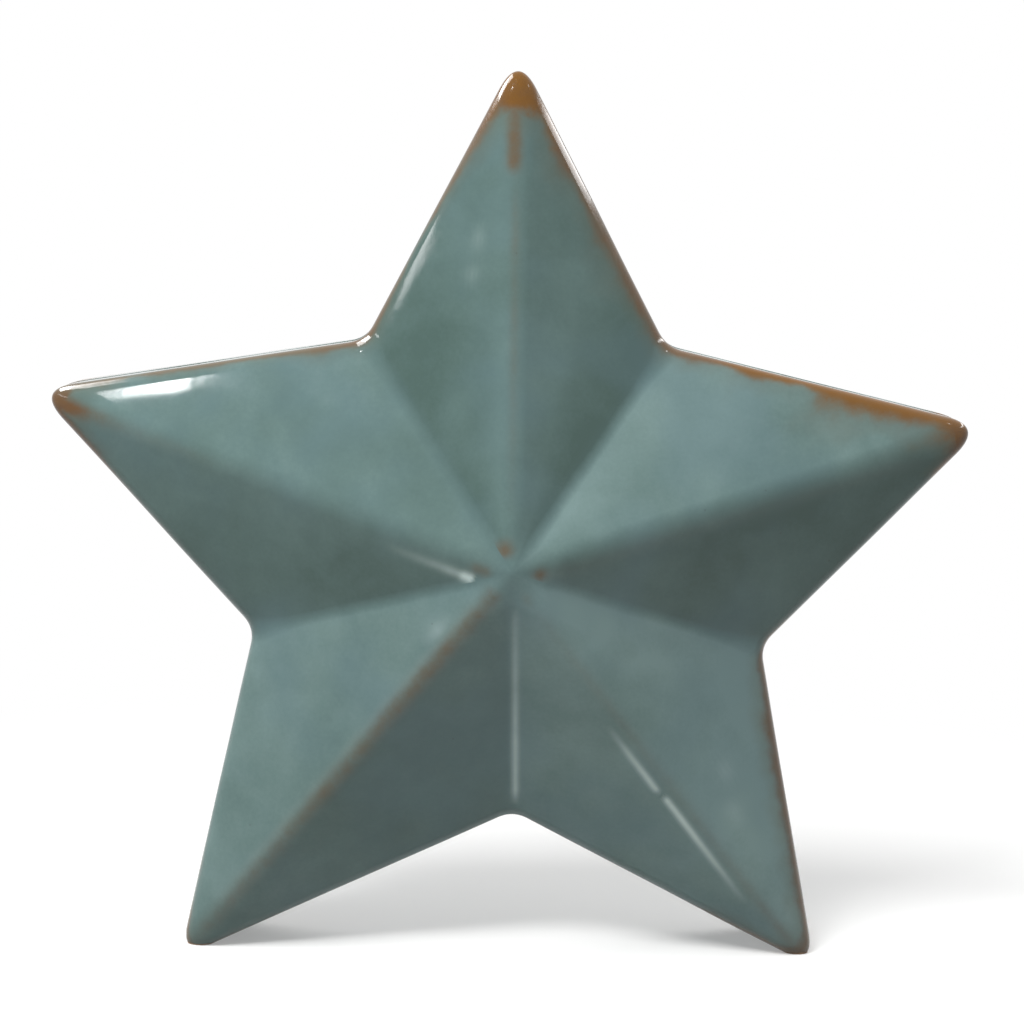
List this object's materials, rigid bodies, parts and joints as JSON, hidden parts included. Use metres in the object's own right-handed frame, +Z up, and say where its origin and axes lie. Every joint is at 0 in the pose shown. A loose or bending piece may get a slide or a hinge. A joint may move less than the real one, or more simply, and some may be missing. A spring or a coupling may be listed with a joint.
{
  "type": "ceramic star ornament",
  "caption": "Free-standing hollow ceramic star with faceted front and back, luted from moulded halves and finished in a glossy teal glaze.",
  "frame": {"origin": "on the table under the star, midway between the side tips, on the seam plane between the front and back halves", "axes": "+X is the width to the right as seen from the front, +Y runs from the front face to the back face, +Z is up towards the top arm"},
  "size_m": [0.1984, 0.0668, 0.1917],
  "materials": {
    "glazed_stoneware": "glossy teal glaze that breaks to rust brown on edges and ridges",
    "fired_slip": "bare fired clay"
  },
  "bodies": {
    "root": {"front_half": "glazed_stoneware", "back_half": "glazed_stoneware", "seam_slip": "fired_slip"}
  },
  "joints": []
}
